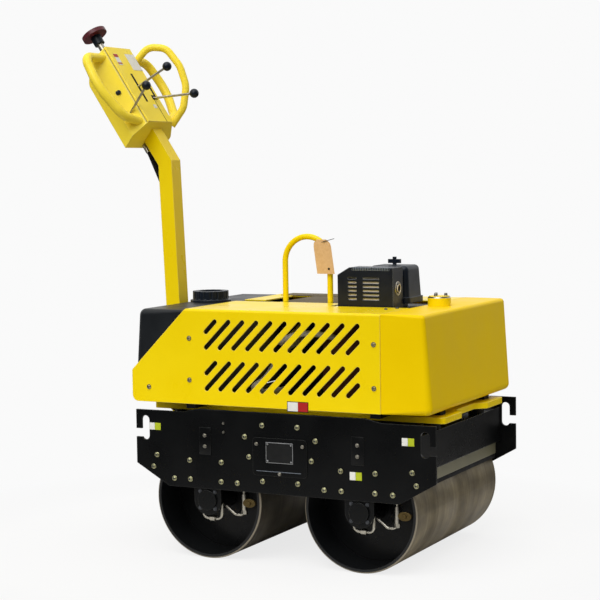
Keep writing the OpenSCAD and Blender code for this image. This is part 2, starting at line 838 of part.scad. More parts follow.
// The air cleaner stands on its intake neck: a base flange and a box that narrows to its top.
module air_cleaner() {
    base = hood_z1 - engine_top + free_gap;
    top = cleaner_h - cleaner_r;
    step = cleaner_taper;
    edge = cleaner_taper + cleaner_r;
    color(black) machine() translate([cleaner_x, cleaner_y, engine_top]) {
        translate([(cleaner_l - intake_w) / 2, (cleaner_w - intake_w) / 2, 0])
            cube([intake_w, intake_w, base]);
        translate([0, 0, base]) linear_extrude(cleaner_flange)
            polygon(rounded(rectangle(cleaner_l, cleaner_w), all_corners(cleaner_r)));
        hull() {
            translate([step / 2, step / 2, base + cleaner_flange]) linear_extrude(1)
                polygon(rounded(rectangle(cleaner_l - step, cleaner_w - step), all_corners(cleaner_r)));
            for (x = [edge, cleaner_l - edge], y = [edge, cleaner_w - edge])
                translate([x, y, top]) sphere(r = cleaner_r, $fn = 32);
        }
        translate([cleaner_l / 2, cleaner_w / 2, cleaner_h - 1]) {
            cylinder(d = wing_h / 2, h = wing_h + 1);
            translate([-wing_h * 0.8, -wing_h / 5, wing_h / 4])
                cube([wing_h * 1.6, wing_h / 2.5, wing_h / 2]);
        }
    }
}

// The hydraulic oil tank between the legs of the lifting eye.
module hydraulic_tank() {
    color(black) machine() translate([eye_x - oil_l / 2, -oil_w / 2, deck_z1]) linear_extrude(oil_h)
        polygon(rounded(rectangle(oil_l, oil_w), all_corners(oil_r)));
}

module lifting_eye() {
    z = eye_z - eye_d / 2;
    r = eye_span / 2;
    path = [[eye_x - r, 0, deck_z1], [eye_x - r, 0, z], [eye_x + r, 0, z], [eye_x + r, 0, deck_z1]];
    color(yellow) machine() bent_tube(path, [0, r, r, 0], eye_d / 2, 0);
}

module drawbar_bracket() {
    y0 = column_w / 2 + ear_gap;
    color(black) machine() difference() {
        for (flip = [false, true]) mirror_y(flip) upright(-y0 - ear_t, -y0) {
            translate([pivot_x, pivot_z]) circle(d = pin_d + 2 * ear_rim);
            translate([pivot_x, pivot_z - pin_d / 2 - ear_rim])
                square([-cross_x - pivot_x, deck_z0 - free_gap - pivot_z + pin_d / 2 + ear_rim]);
        }
        translate([pivot_x, -y0 - ear_t - 1, pivot_z]) rotate([-90, 0, 0])
            cylinder(d = pin_d, h = 2 * (y0 + ear_t + 1));
    }
}

module pivot_pin() {
    l = column_w + 2 * (ear_gap + ear_t + pin_end);
    color(zinc) machine() translate([pivot_x, -l / 2, pivot_z]) rotate([-90, 0, 0])
        cylinder(d = pin_d, h = l);
}

// Plates that hang from the side plates into the drum's ends and carry its bearings.
module carriers(x) {
    color(black) machine() for (flip = [false, true]) mirror_y(flip) difference() {
        upright(-plate_in, -carrier_y) translate([x, axle_z]) {
            circle(r = carrier_r);
            translate([-carrier_r, 0]) square([2 * carrier_r, carrier_up]);
        }
        translate([x, -carrier_y + 1, axle_z]) rotate([90, 0, 0])
            cylinder(d = motor_cap_d + 2 * seat_gap, h = carrier_t + 2);
    }
}

module front_carriers() { carriers(axle_x); }
module rear_carriers() { carriers(-axle_x); }

// A housing on the carrier plate's inner face, bored for the stub shaft.
// Its end cover comes through the plate.
module housing(x) {
    y1 = -hub_y - free_gap;
    translate([x, 0, axle_z]) rotate([90, 0, 0]) difference() {
        union() {
            translate([0, 0, -y1]) cylinder(d = motor_d, h = carrier_y + y1);
            translate([0, 0, -y1]) cylinder(d = motor_cap_d, h = carrier_y + y1 + motor_cap_l);
        }
        translate([0, 0, -y1 - 1]) cylinder(d = stub_d + 2 * run_gap, h = stub_l + 1);
    }
}

module front_motor() { color(black) machine() housing(axle_x); }
module rear_motor() { color(black) machine() housing(-axle_x); }
module front_bearing() { color(black) machine() mirror_y(true) housing(axle_x); }
module rear_bearing() { color(black) machine() mirror_y(true) housing(-axle_x); }

// The return pipe that loops below the motor, and the feed line from a bulkhead in the side plate
// down to an elbow below the motor.
module motor_pipe(x) {
    loop = [[port_rear, -pipe_y, 0], [port_rear, -pipe_y, -pipe_low],
        [port_front, -pipe_y, -pipe_low], [port_front, -pipe_y, 0]];
    elbow_x = (feed_x + port_front) / 2;
    feed = [[feed_x, -plate_in, feed_top], [feed_x, -feed_y, feed_top], [feed_x, -feed_y, -feed_low],
        [elbow_x, -feed_y, -feed_low], [0, -feed_y, 0]];
    color(zinc) machine() translate([x, 0, axle_z]) difference() {
        union() {
            bent_tube(loop, [0, pipe_bend, pipe_bend, 0], pipe_d / 2, 0);
            translate([(port_rear + port_front - nut_l) / 2, -pipe_y, -pipe_low]) rotate([0, 90, 0])
                cylinder(d = nut_d, h = nut_l, $fn = 6);
            bent_tube(feed, [0, pipe_bend, pipe_bend, pipe_bend, 0], pipe_d / 2);
            translate([feed_x, -feed_y, pipe_bend - feed_low]) cylinder(d = sleeve_d, h = sleeve_l);
        }
        translate([0, -carrier_y, 0]) rotate([-90, 0, 0]) cylinder(d = motor_d, h = carrier_y);
    }
}

module front_motor_pipe() { motor_pipe(axle_x); }
module rear_motor_pipe() { motor_pipe(-axle_x); }

// Turns children from the Z axis to a drum's axle.
module on_axle(x) {
    machine() translate([x, 0, axle_z]) rotate([90, 0, 0]) children();
}

// A rolled shell with chamfered rims.
module drum_shell(x) {
    r = drum_d / 2;
    y = drum_w / 2;
    color(steel) on_axle(x) rotate_extrude($fn = 128)
        polygon([[r - drum_wall, -y], [r - drum_chamfer, -y], [r, drum_chamfer - y],
            [r, y - drum_chamfer], [r - drum_chamfer, y], [r - drum_wall, y]]);
}

module front_drum_shell() { drum_shell(axle_x); }
module rear_drum_shell() { drum_shell(-axle_x); }

// The discs welded in near the shell's ends.
module drum_discs(x) {
    color(black) on_axle(x) for (s = [-1, 1]) translate([0, 0, s * drum_disc_y - drum_disc_t / 2])
        cylinder(r = drum_d / 2 - drum_wall - seat_gap, h = drum_disc_t, $fn = 128);
}

module front_drum_discs() { drum_discs(axle_x); }
module rear_drum_discs() { drum_discs(-axle_x); }

module drum_hubs(x) {
    color(zinc) machine() for (flip = [false, true]) mirror_y(flip)
        translate([x, -drum_disc_y - drum_disc_t / 2, axle_z]) rotate([90, 0, 0]) {
            cylinder(d = hub_d, h = hub_t);
            translate([0, 0, hub_t]) cylinder(d = stub_d, h = stub_l);
        }
}

module front_drum_hubs() { drum_hubs(axle_x); }
module rear_drum_hubs() { drum_hubs(-axle_x); }

// Outline of the bent column, w deep, from below the pivot to the console's lower end.
function along(lean) = [-sin(lean), cos(lean)];
function across(lean) = [cos(lean), sin(lean)];
function console_point(h, a) = [console_x, console_z] + h * across(console_lean) + a * along(console_lean);
function low_end(h) = (1 + h / console_t) * console_slant - console_slant;
pivot = [pivot_x, pivot_z];
bend_run = (console_point(console_h, 0) - pivot) * across(console_lean)
    / (along(column_lean) * across(console_lean));
bend_at = pivot + bend_run * along(column_lean);
bend_out = (across(column_lean) + across(console_lean)) / (1 + across(column_lean) * across(console_lean));
function column_side(w) = [pivot - column_tail * along(column_lean) + w * across(column_lean),
    bend_at + w * bend_out, console_point(console_h + w, low_end(console_h + w))];
module column_2d(d) {
    front = column_side(d / 2);
    rear = column_side(-d / 2);
    polygon([front[0], front[1], front[2], rear[2], rear[1], rear[0]]);
}

// The folded box column with a bushing for the pivot pin.
module column() {
    color(yellow) machine() difference() {
        union() {
            difference() {
                upright(-column_w / 2, column_w / 2) column_2d(column_d);
                upright(-column_w / 2 + column_wall, column_w / 2 - column_wall)
                    column_2d(column_d - 2 * column_wall);
            }
            translate([pivot_x, column_w / 2 - 1, pivot_z]) rotate([90, 0, 0])
                cylinder(d = pin_d + 2 * bush_wall, h = column_w - 2);
        }
        translate([pivot_x, column_w, pivot_z]) rotate([90, 0, 0])
            cylinder(d = pin_d + 2 * run_gap, h = 2 * column_w);
    }
}

// The console's folded box, drawn in its own frame: X out of the panel, Z up along it.
// An inset of w gives the space inside it, open towards the panel.
module console_solid(w = 0) {
    t = console_t - w;
    s = console_w / 2 - w;
    p = panel_w / 2 - w;
    face = w > 0 ? 1 : -panel_t;
    edge = console_wall_h - console_t;
    intersection() {
        rotate([90, 0, 0]) translate([0, 0, -console_w]) linear_extrude(2 * console_w)
            polygon([[face, low_end(face) + w], [face, panel_l - w],
                [w - top_chamfer[1], panel_l - top_chamfer[0] - w],
                [w - back_chamfer[1], panel_l - back_chamfer[0] - w],
                [-t, panel_l - back_chamfer[0] - back_drop - w], [-t, low_end(-t) + w]]);
        translate([0, 0, -panel_l]) linear_extrude(3 * panel_l)
            polygon([[face, -p], [face, p], [edge, s], [-t, s], [-t, -s], [edge, -s]]);
    }
}

module console() {
    color(yellow) machine() at_console() difference() {
        console_solid();
        console_solid(sheet_t);
    }
}

// The panel with a straight slot, a hooked one, and the seam of the small lid below the hook.
module control_panel() {
    color(yellow) machine() at_console() difference() {
        translate([-panel_t, -panel_w / 2, 0]) cube([panel_t, panel_w, panel_l]);
        for (s = SLOTS) translate([-panel_t - 1, s[0], s[1]]) cube([panel_t + 2, s[2], s[3]]);
        translate([-panel_t / 2, seam_y, -1]) cube([panel_t, seam_w, gate_a + 2]);
    }
}

// One half of the handlebar, from the console's upper corner out and back to its lower corner.
module handlebar_tube() {
    path = [[-bar_h, -panel_w / 4, bar_top], [-bar_h, bar_in - bar_y, bar_top], [-bar_h, -bar_y, panel_l / 2],
        [-bar_h, 2 * bar_in - bar_y, bar_low + bar_in], [-bar_h, -panel_w / 2, bar_low],
        [-bar_h, -panel_w / 4, bar_low]];
    bent_tube(path, BAR_BENDS, bar_d / 2);
}

module handlebar(left) {
    color(yellow) machine() at_console() mirror_y(left) difference() {
        handlebar_tube();
        console_solid();
    }
}

module handlebar_right() { handlebar(false); }
module handlebar_left() { handlebar(true); }

// The hoop that keeps hands and branches off the levers.
module lever_guard() {
    color(yellow) machine() at_console() difference() {
        bent_tube(HOOP, HOOP_BENDS, hoop_d / 2);
        console_solid();
        mirror_y(true) handlebar_tube();
    }
}

module stop_disc() {
    color("darkred") machine() at_console() translate([console_h, 0, stop_rim]) {
        translate([0, 0, -stop_t]) cylinder(d = stop_d, h = stop_t);
        translate([0, 0, -stop_t - boss_l]) cylinder(d = boss_d, h = boss_l);
    }
}

module stop_stem() {
    color(zinc) machine() at_console() difference() {
        translate([console_h, 0, panel_l - back_chamfer[0]])
            cylinder(d = stem_d, h = stop_rim - stop_t - boss_l - panel_l + back_chamfer[0]);
        console_solid();
    }
}

module lever_rods() {
    color(zinc) machine() at_console() difference() {
        for (lever = LEVERS) {
            d = unit(lever[1] - lever[0]);
            bar(lever[0] - lever_root * d, lever[1], rod_d / 2);
        }
        console_solid();
    }
}

module lever_knobs() {
    color(black) machine() at_console() difference() {
        for (lever = LEVERS) translate(lever[1]) sphere(d = knob_d);
        for (lever = LEVERS) bar(lever[0], lever[1], rod_d / 2);
    }
}

// Cables from the console's lower end into the back of the column.
module control_cables() {
    start = console_point(-cable_h, 0);
    turn = console_point(-cable_h, -cable_drop);
    finish = bend_at - cable_run * along(column_lean);
    color(black) machine() difference() {
        for (i = [-1.5 : 1.5]) {
            y = i * cable_pitch;
            bent_tube([[start[0], y, start[1]], [turn[0], y, turn[1]], [finish[0], y, finish[1]]],
                [0, cable_bend, 0], cable_d / 2);
        }
        at_console() console_solid();
        upright(-column_w / 2, column_w / 2) column_2d(column_d);
    }
}

side_plate_right();
side_plate_left();
front_crossmember();
rear_crossmember();
front_scraper();
rear_scraper();
inspection_cover();
deck_plate();
deck_mounts();
tank_pads();
hood_beams();
hood_posts();
hood_side_right();
hood_side_left();
hood_cover();
front_tank();
filler_neck();
rear_tank();
rear_tank_cap();
engine_block();
muffler();
muffler_guard();
air_cleaner();
hydraulic_tank();
lifting_eye();
drawbar_bracket();
pivot_pin();
front_carriers();
rear_carriers();
front_motor();
rear_motor();
front_bearing();
rear_bearing();
front_motor_pipe();
rear_motor_pipe();
front_drum_shell();
front_drum_discs();
front_drum_hubs();
rear_drum_shell();
rear_drum_discs();
rear_drum_hubs();
column();
console();
control_panel();
handlebar_right();
handlebar_left();
lever_guard();
stop_disc();
stop_stem();
lever_rods();
lever_knobs();
control_cables();
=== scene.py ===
# %% [markdown]
# # A walk-behind double-drum road roller
# The machine stands in a bright studio with its drawbar upright: two smooth steel drums in a black frame,
# a louvred yellow hood, a lifting eye, and a console with levers on a bent column.
# The CAD frame already holds every rigid piece at its real size, so this lesson gives the pieces their
# finish and adds what a CAD model leaves out: bolts, blank labels, pipes, screws and a card tag.

# %% Load the frame
import json
import math

import bmesh
import bpy
from mathutils import Matrix, Vector


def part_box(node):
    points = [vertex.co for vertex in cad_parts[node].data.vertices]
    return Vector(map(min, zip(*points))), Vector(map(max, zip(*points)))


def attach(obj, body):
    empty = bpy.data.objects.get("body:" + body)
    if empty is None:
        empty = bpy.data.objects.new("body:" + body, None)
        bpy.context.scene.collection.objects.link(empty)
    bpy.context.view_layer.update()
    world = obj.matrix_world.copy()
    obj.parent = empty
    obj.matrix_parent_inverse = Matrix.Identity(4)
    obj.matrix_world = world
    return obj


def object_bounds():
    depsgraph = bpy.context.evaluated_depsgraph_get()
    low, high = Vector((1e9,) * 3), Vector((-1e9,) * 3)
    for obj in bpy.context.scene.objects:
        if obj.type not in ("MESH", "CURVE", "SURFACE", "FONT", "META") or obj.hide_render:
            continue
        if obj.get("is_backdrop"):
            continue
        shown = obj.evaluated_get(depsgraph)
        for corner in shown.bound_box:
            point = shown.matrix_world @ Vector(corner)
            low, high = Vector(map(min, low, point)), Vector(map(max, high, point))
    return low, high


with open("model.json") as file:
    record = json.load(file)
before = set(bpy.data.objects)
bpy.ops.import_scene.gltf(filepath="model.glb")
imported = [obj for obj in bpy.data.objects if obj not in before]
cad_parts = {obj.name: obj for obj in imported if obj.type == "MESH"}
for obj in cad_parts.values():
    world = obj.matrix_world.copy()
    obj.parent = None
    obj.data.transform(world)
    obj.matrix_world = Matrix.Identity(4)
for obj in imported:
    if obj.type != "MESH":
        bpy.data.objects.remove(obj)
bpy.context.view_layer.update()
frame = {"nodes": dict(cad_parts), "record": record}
nodes = frame["nodes"]

# %% [markdown]
# ## Where things are
# A roller's drawings are dimensioned from the middle of the machine: x forward from midway between the
# drums, y to the left, z up from the ground, in millimetres.
# Places could be written in metres of the frame, but a drawing's sizes are easier to check.
# So one function turns such a dimension into a point of the frame, and another reads a node's own sizes.

# %% From the drawing to the frame and back
MM = 0.001
plate_low, plate_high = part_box("side_plate_right")
middle_x = (plate_low.x + plate_high.x) / 2


def at(x, y, z):
    """The point of the frame that lies x, y, z millimetres from the middle of the machine on the ground."""
    return Vector((middle_x + x * MM, y * MM, z * MM))


def corners_of(node):
    """A node's lowest and highest corner in the drawing's millimetres."""
    return [[round(v / MM, 2) for v in corner - at(0, 0, 0)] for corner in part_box(node)]


print("the middle of the machine is at x =", round(middle_x, 4))

# %% [markdown]
# ## The camera
# The picture is taken from the front right, a little above the hood, with a long lens.
# A camera can be aimed by a constraint, but its turn, tilt and roll were solved from the drums' rims and
# the corners of the plates, so they are set directly.

# %% Camera
picture_px = 600
focal_px = 1697.7
sensor_mm = 36
azimuth, elevation, roll = (math.radians(v) for v in (26.713, 4.362, -0.802))
camera_place = at(2293.7, -4749.1, 1173.0)
camera_data = bpy.data.cameras.new("camera")
camera_data.sensor_width = sensor_mm
camera_data.lens = focal_px / picture_px * sensor_mm
camera_data.clip_end = 100
camera = bpy.data.objects.new("camera", camera_data)
bpy.context.scene.collection.objects.link(camera)
pan = Matrix.Rotation(azimuth, 4, "Z")
tilt = Matrix.Rotation(math.pi / 2 - elevation, 4, "X")
camera.matrix_world = Matrix.Translation(camera_place) @ (pan @ tilt @ Matrix.Rotation(roll, 4, "Z"))
bpy.context.scene.camera = camera
print("lens of", round(camera_data.lens, 1), "mm")

# %% [markdown]
# ## Nodes and colours
# Every finish is a small node tree. It could be wired by hand in the editor, but a script that builds it
# can be read and changed. One function adds a node with its settings and links, and another turns the hex
# colours that designers write into the linear values that a shader needs.

# %% Helpers for materials
def linear(code):
    """A linear RGBA colour from an sRGB hex code."""
    parts = [int(code[i:i + 2], 16) / 255 for i in (0, 2, 4)]
    return [c / 12.92 if c <= 0.04045 else ((c + 0.055) / 1.055) ** 2.4 for c in parts] + [1.0]


def add_node(tree, kind, inputs=None, **settings):
    """A new node; an input given as a socket is linked, and any other value is set."""
    new = tree.nodes.new(kind)
    for name, value in settings.items():
        setattr(new, name, value)
    for name, value in (inputs or {}).items():
        if isinstance(value, bpy.types.NodeSocket):
            tree.links.new(value, new.inputs[name])
        else:
            new.inputs[name].default_value = value
    return new


def start_finish(name, roughness, **sockets):
    """A material with its tree, its shader and its Object coordinates."""
    made = bpy.data.materials.new(name)
    made.use_nodes = True
    shader = made.node_tree.nodes["Principled BSDF"]
    shader.inputs["Roughness"].default_value = roughness
    for socket, value in sockets.items():
        shader.inputs[socket.replace("_", " ")].default_value = value
    place = add_node(made.node_tree, "ShaderNodeTexCoord").outputs["Object"]
    return made, made.node_tree, shader, place


def per_metre(millimetres):
    """The scale of a pattern whose features are that many millimetres across."""
    return 1000 / millimetres


# %% [markdown]
# ## Stage and light
# The machine stands on a pale floor in a white room. The floor could be lit until it is white, but that
# would bleach the machine as well. So the floor's paint fades into the room's white by itself: close to the
# machine it takes a faint shadow, and from two metres out it is dark to reflections, as the far floor of a
# studio is.

# %% Floor
floor_half = 30
floor_mesh = bpy.data.meshes.new("studio_floor")
build = bmesh.new()
bmesh.ops.create_grid(build, x_segments=1, y_segments=1, size=floor_half)
build.to_mesh(floor_mesh)
build.free()
studio_floor = bpy.data.objects.new("studio_floor", floor_mesh)
bpy.context.scene.collection.objects.link(studio_floor)
studio_floor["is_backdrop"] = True

# Matt white paint: no shine at all, so that nothing but the shadow shows on it.
floor_paint, tree, shader, place = start_finish("matt_white_floor_paint", 0.9, Specular_IOR_Level=0.0)
far = add_node(tree, "ShaderNodeVectorMath", {0: place}, operation="LENGTH").outputs["Value"]
fade = add_node(tree, "ShaderNodeMapRange", {"Value": far, "From Min": 0.9, "From Max": 1.9}).outputs[0]
paint = add_node(tree, "ShaderNodeMix", {"Factor": fade, "A": linear("E8E8E8"), "B": linear("505050")},
                 data_type="RGBA")
tree.links.new(paint.outputs[2], shader.inputs["Base Color"])
glow = add_node(tree, "ShaderNodeEmission", {"Color": linear("FAFAFA")}).outputs[0]
seen = add_node(tree, "ShaderNodeLightPath").outputs["Is Camera Ray"]
near = add_node(tree, "ShaderNodeMapRange",
                {"Value": far, "From Min": 0.5, "From Max": 1.4, "To Min": 0.82}).outputs[0]
share = add_node(tree, "ShaderNodeMath", {0: seen, 1: near}, operation="MULTIPLY").outputs[0]
blend = add_node(tree, "ShaderNodeMixShader", {0: share, 1: shader.outputs[0], 2: glow})
tree.links.new(blend.outputs[0], tree.nodes["Material Output"].inputs["Surface"])
floor_mesh.materials.append(floor_paint)
print("floor of", 2 * floor_half, "metres")

# %% [markdown]
# The room is white behind the machine and dim on the camera's side, so paint seen straight on keeps its
# full colour and only surfaces seen at a low angle take a white sheen. A dome picture could light the room,
# but two backgrounds mixed by the kind of ray do it without one.

# %% World
world = bpy.data.worlds.new("white_studio")
bpy.context.scene.world = world
world.use_nodes = True
tree = world.node_tree
tree.nodes.clear()
rays = add_node(tree, "ShaderNodeLightPath").outputs
towards = add_node(tree, "ShaderNodeTexCoord").outputs["Generated"]
away = (-math.sin(azimuth), math.cos(azimuth), 0.5)
behind = add_node(tree, "ShaderNodeVectorMath", {0: towards, 1: away},
                  operation="DOT_PRODUCT").outputs["Value"]
sheen = add_node(tree, "ShaderNodeMapRange",
                 {"Value": behind, "From Min": -0.1, "From Max": 0.6, "To Min": 0.1}).outputs[0]
plain = add_node(tree, "ShaderNodeMath", {0: rays["Is Camera Ray"], 1: rays["Is Transmission Ray"]},
                 operation="MAXIMUM").outputs[0]
shown = add_node(tree, "ShaderNodeMath", {0: plain, 1: rays["Is Glossy Ray"]},
                 operation="MAXIMUM").outputs[0]
white = add_node(tree, "ShaderNodeMath", {0: plain, 1: sheen}, operation="MAXIMUM").outputs[0]
ambient = add_node(tree, "ShaderNodeBackground", {"Color": linear("FBF6EE"), "Strength": 0.55}).outputs[0]
backdrop = add_node(tree, "ShaderNodeBackground", {"Color": linear("FAFAFA"), "Strength": white}).outputs[0]
mixed = add_node(tree, "ShaderNodeMixShader", {0: shown, 1: ambient, 2: backdrop}).outputs[0]
add_node(tree, "ShaderNodeOutputWorld", {"Surface": mixed})
bpy.context.scene.view_settings.view_transform = "Standard"
print("world of", len(tree.nodes), "nodes")

# %% [markdown]
# Lamps close to the machine would fall off across the floor. Broad suns light it evenly instead: a key from
# the picture's right and a weaker one from above.

# %% Suns
# Direction that each sun shines from (turn and height in degrees), its strength and its width in degrees.
SUNS = {"key": (-2, 46, 2.05, 50), "top": (30, 82, 0.8, 60)}
for name, (turn, height, strength, width) in SUNS.items():
    data = bpy.data.lights.new("sun_" + name, "SUN")
    data.energy = strength
    data.angle = math.radians(width)
    lamp = bpy.data.objects.new("sun_" + name, data)
    lamp.matrix_world = (Matrix.Rotation(math.radians(turn), 4, "Z")
                         @ Matrix.Rotation(math.radians(90 - height), 4, "X"))
    bpy.context.scene.collection.objects.link(lamp)
print("stage with", len(SUNS), "suns")

# %% [markdown]
# ## Finishes
# Real paint and moulded plastic are never one flat colour: they vary in clouds, take dust and shine
# unevenly. Each could have a tree of its own, but they differ only in degree, so one recipe serves every
# paint, plastic and plating here: a cloud pattern mixes two close colours and shifts the gloss, a finer one
# makes the surface's grain, and edges are rounded in the shading, where some take a paler painted
# highlight.
# Each row gives the two colours, the size of the clouds in millimetres, roughness, metal, shine, and grain.

# %% Paints, plastics, rubber and plating
FINISHES = {
    # Glossy two-pack enamel on steel sheet, a little chalky in places
    "yellow_paint": ("ECCC00", "F4D800", 160, 0.30, 0.0, 0.22, 0.02),
    # The same enamel on bent tube, which has no edges to round or to give a painted highlight
    "yellow_tube_paint": ("ECCC00", "F4D800", 160, 0.30, 0.0, 0.22, 0.0),
    # A lighter copy of the enamel for the console and its handlebars: painted light for the stronger light
    # that falls on them
    "lit_copy_paint": ("F4DA30", "FAE248", 160, 0.30, 0.0, 0.22, 0.02),
    "lit_copy_tube_paint": ("F4DA30", "FAE248", 160, 0.30, 0.0, 0.22, 0.0),
    # The same yellow as a dyed polyethylene moulding, softer in its shine
    "yellow_tank": ("E8C300", "F0CD00", 140, 0.38, 0.0, 0.06, 0.05),
    # Black enamel on the frame plates
    "black_paint": ("060708", "0D0E0F", 120, 0.28, 0.0, 0.16, 0.04),
    # Rotational moulding in black polyethylene
    "black_tank": ("101316", "1A1E22", 90, 0.42, 0.0, 0.30, 0.08),
    # Cast alloy of the engine, grey with dust
    "engine_alloy": ("3A3C40", "54565A", 40, 0.55, 0.7, 0.4, 0.15),
    # Grained injection moulding
    "black_plastic": ("08101A", "101A28", 60, 0.36, 0.0, 0.30, 0.08),
    # Heat-proof paint on the pressed muffler guard
    "heat_guard": ("060B16", "0E1624", 50, 0.34, 0.0, 0.50, 0.08),
    # Black rubber of mounts and hose covers
    "rubber": ("0C0C0D", "161617", 30, 0.72, 0.0, 0.20, 0.20),
    # Zinc plating, silver with a warm cast
    "zinc": ("9A968A", "D0CCC0", 12, 0.34, 1.0, 0.5, 0.03),
    # Yellow passivated zinc of the frame's bolts, and darker on the hydraulic flanges
    "yellow_zinc": ("8E8C68", "C6C49E", 10, 0.36, 0.9, 0.5, 0.03),
    "gold_zinc": ("483C1E", "625230", 10, 0.44, 0.8, 0.5, 0.03),
    # Pale paint of the hydraulic pipes behind the louvres, brighter than their silver so they show in the
    # dim bay: partly a painted glint; and the rusty primer of the fan shroud
    "pipe_paint_and_glint": ("B4B4AC", "DCDCD6", 6, 0.4, 0.0, 0.4, 0.05),
    "brown_primer": ("3C2010", "5C341C", 40, 0.6, 0.0, 0.2, 0.1),
    # Light grey of the guard's rib edges and the cover's fold: a painted highlight for the light their
    # edges catch
    "highlight_grey": ("4E5660", "727A84", 6, 0.4, 0.0, 0.5, 0.05),
    # Muffler steel, tanned by heat and made paler than it is, as painted light where little light reaches
    # inside the guard
    "tanned_and_lit_steel": ("CDBFA4", "EADFCA", 30, 0.5, 0.0, 0.4, 0.05),
    # Dark red moulded plastic
    "red_plastic": ("4A141C", "662832", 30, 0.36, 0.0, 0.45, 0.04),
    # Printed vinyl labels, left blank
    "white_vinyl": ("D8D8D2", "E4E4DE", 20, 0.45, 0.0, 0.3, 0.0),
    "lime_vinyl": ("A4B01C", "B4C024", 20, 0.45, 0.0, 0.3, 0.0),
    "red_vinyl": ("A01818", "B42020", 20, 0.45, 0.0, 0.3, 0.0),
    # Dark etched plate, and the bright foil of its border
    "etched_black": ("0C0D0E", "161718", 20, 0.40, 0.0, 0.3, 0.0),
    "silver_foil": ("8C8E90", "A8AAAC", 20, 0.38, 0.6, 0.5, 0.0),
    # Scraper strip, bare steel polished by the drum and filmed with oil
    "scraper_steel": ("66644F", "84816A", 60, 0.42, 0.1, 0.4, 0.05),
    # Kraft card of the hang tag
    "kraft_card": ("CCA26E", "E6C294", 8, 0.85, 0.0, 0.1, 0.15),
    # Black paint of the hood's cover, made a lighter brown grey
    "brown_grey_cover_paint": ("544C3C", "746A56", 90, 0.75, 0.0, 0.15, 0.15),
}
# The edges of a painted or moulded piece are painted paler: a painted highlight for the light that edges
# catch.
EDGE_HIGHLIGHTS = {
    "yellow_paint": "F8E98C", "lit_copy_paint": "FAF0A8", "yellow_tank": "F4E07C", "black_paint": "3A3B39",
    "heat_guard": "949CA6", "black_tank": "464C52", "black_plastic": "464C52",
}
# Round bars and tubes, and card, have no edges that the shading should round.
ROUND_FINISHES = ("yellow_tube_paint", "lit_copy_tube_paint", "zinc", "rubber", "kraft_card")
print(len(FINISHES), "finishes,", len(EDGE_HIGHLIGHTS), "with rubbed edges")

# %% [markdown]
# An edge is where the rounded normal of the Bevel node leaves the face's own normal. Painting the edge
# highlights by hand would need a map for every piece; the angle between the two normals finds the edges of
# any shape.

# %% The recipe
edge_radius = 2.5 * MM
grain_mm = 1.5
grain_depth = 0.4 * MM


def paint_edge_highlights(tree, edge, colour, pale):
    """The colour, turned paler where the rounded edge leaves the face: a painted highlight on the edges."""
    flat = add_node(tree, "ShaderNodeNewGeometry").outputs["Normal"]
    level = add_node(tree, "ShaderNodeVectorMath", {0: edge, 1: flat},
                     operation="DOT_PRODUCT").outputs["Value"]
    # Paler where the edge turns away from the face: painted highlight.
    highlighted = add_node(tree, "ShaderNodeMapRange",
                      {"Value": level, "From Min": 0.985, "From Max": 0.8, "To Max": 0.7}).outputs[0]
    return add_node(tree, "ShaderNodeMix", {"Factor": highlighted, "A": colour, "B": linear(pale)},
                    data_type="RGBA").outputs[2]


def clouded_finish(name, dark, light, cloud_mm, roughness, metal, shine, grain):
    """A finish with clouds in its colour and gloss, a fine grain, and edges as the lists above say."""
    made, tree, shader, place = start_finish(name, roughness, Metallic=metal, Specular_IOR_Level=shine)
    cloud = add_node(tree, "ShaderNodeTexNoise",
                     {"Vector": place, "Scale": per_metre(cloud_mm), "Detail": 4.0}).outputs["Fac"]
    colour = add_node(tree, "ShaderNodeMix", {"Factor": cloud, "A": linear(dark), "B": linear(light)},
                      data_type="RGBA").outputs[2]
    gloss = add_node(tree, "ShaderNodeMapRange", {"Value": cloud, "From Min": 0.3, "From Max": 0.7,
                                                  "To Min": roughness - 0.06, "To Max": roughness + 0.08})
    fine = add_node(tree, "ShaderNodeTexNoise",
                    {"Vector": place, "Scale": per_metre(grain_mm), "Detail": 2.0}).outputs["Fac"]
    bump = add_node(tree, "ShaderNodeBump", {"Strength": grain, "Distance": grain_depth, "Height": fine})
    if name not in ROUND_FINISHES:
        edge = add_node(tree, "ShaderNodeBevel", {"Radius": edge_radius}, samples=6).outputs[0]
        tree.links.new(edge, bump.inputs["Normal"])
        if name in EDGE_HIGHLIGHTS:
            colour = paint_edge_highlights(tree, edge, colour, EDGE_HIGHLIGHTS[name])
    tree.links.new(colour, shader.inputs["Base Color"])
    tree.links.new(gloss.outputs[0], shader.inputs["Roughness"])
    tree.links.new(bump.outputs[0], shader.inputs["Normal"])
    return made


finishes = {name: clouded_finish(name, *row) for name, row in FINISHES.items()}
print(len(finishes), "finishes from one recipe")

# %% [markdown]
# ## The drums' steel
# A drum's face is rolled bright and brown by turns: fine bands run round it where stones have scored it,
# broad belts show where it has run on loose stone or on smooth asphalt, and stains lie over both.
# A picture could hold this, but noise that is stretched round the drum has no seam and needs no map.

# %% The rolled face
band_mm, belt_mm, stain_mm = 14, 150, 70
# Squeezing x and z stretches the noise into bands that run round the drum.
round_the_drum = (0.02, 1, 0.02)


